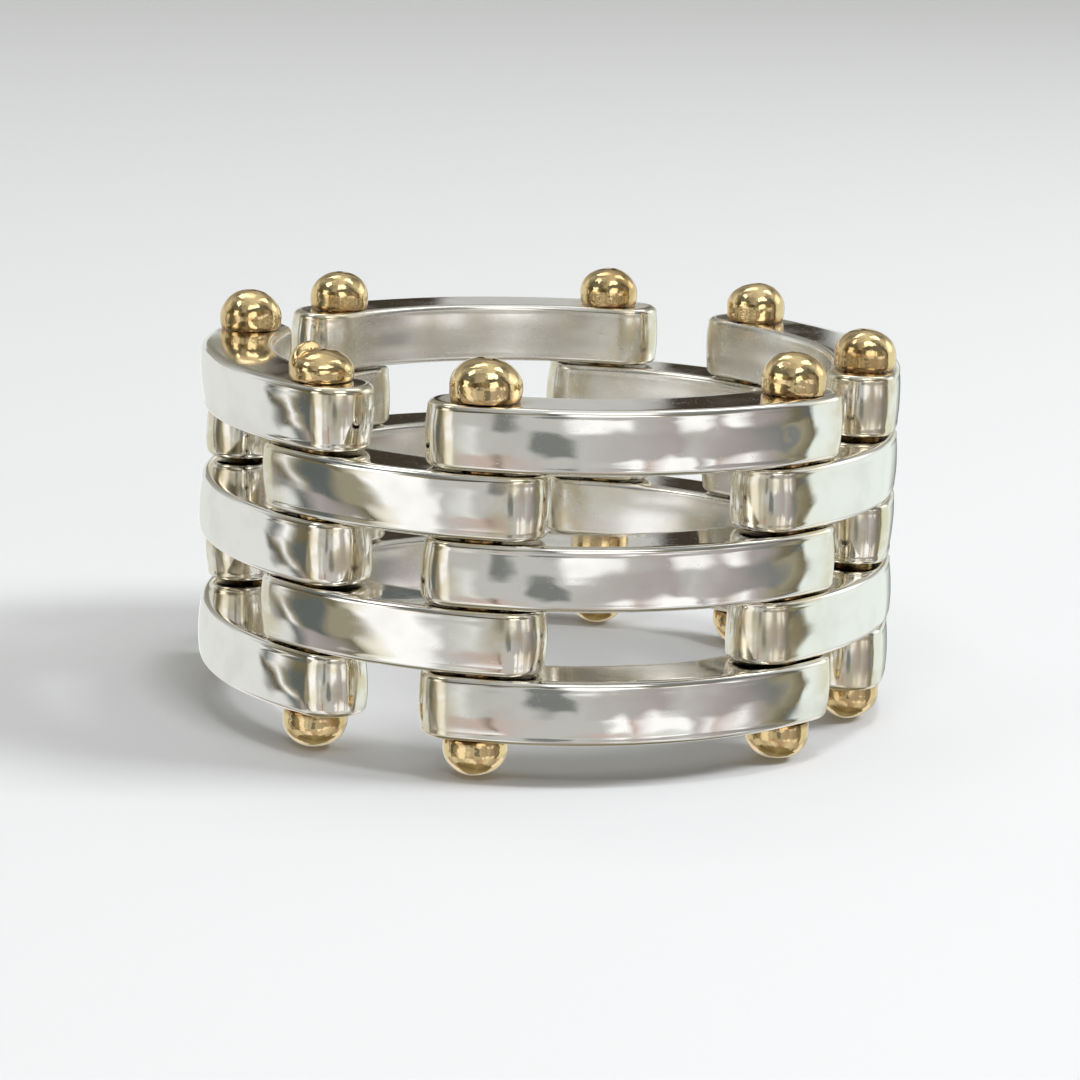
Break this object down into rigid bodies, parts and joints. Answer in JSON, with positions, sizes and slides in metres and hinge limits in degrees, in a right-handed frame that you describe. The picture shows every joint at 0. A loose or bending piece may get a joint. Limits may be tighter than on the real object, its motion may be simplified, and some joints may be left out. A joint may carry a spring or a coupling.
{
  "type": "chain ring",
  "caption": "Stiff finger ring of curved silver bars in stacked rows, long and short links alternating and interleaved on upright round-headed gold pins, shown lying on its side",
  "frame": {"origin": "centre of the ring on the plane that it rests on, under the middle of the finger hole", "axes": "+Z is the ring's own axis and points up as the ring lies on its side; -Y faces the viewer and runs through the middle of long link 1; the links are numbered counter-clockwise seen from above"},
  "size_m": [0.0208, 0.0208, 0.0118],
  "materials": {
    "silver": "polished sterling silver, mirror bright, with fine wear scratches and softly rounded edges",
    "gold": "polished yellow gold, slightly lumpy where the domed heads were formed by hand"
  },
  "bodies": {
    "root": {"long_bar_1_top": "silver", "long_bar_1_middle": "silver", "long_bar_1_bottom": "silver", "long_bar_2_top": "silver", "long_bar_2_middle": "silver", "long_bar_2_bottom": "silver", "long_bar_3_top": "silver", "long_bar_3_middle": "silver", "long_bar_3_bottom": "silver", "long_bar_4_top": "silver", "long_bar_4_middle": "silver", "long_bar_4_bottom": "silver", "short_bar_1_upper": "silver", "short_bar_1_lower": "silver", "short_bar_2_upper": "silver", "short_bar_2_lower": "silver", "short_bar_3_upper": "silver", "short_bar_3_lower": "silver", "short_bar_4_upper": "silver", "short_bar_4_lower": "silver", "pin_1": "gold", "pin_2": "gold", "pin_3": "gold", "pin_4": "gold", "pin_5": "gold", "pin_6": "gold", "pin_7": "gold", "pin_8": "gold"}
  },
  "joints": []
}
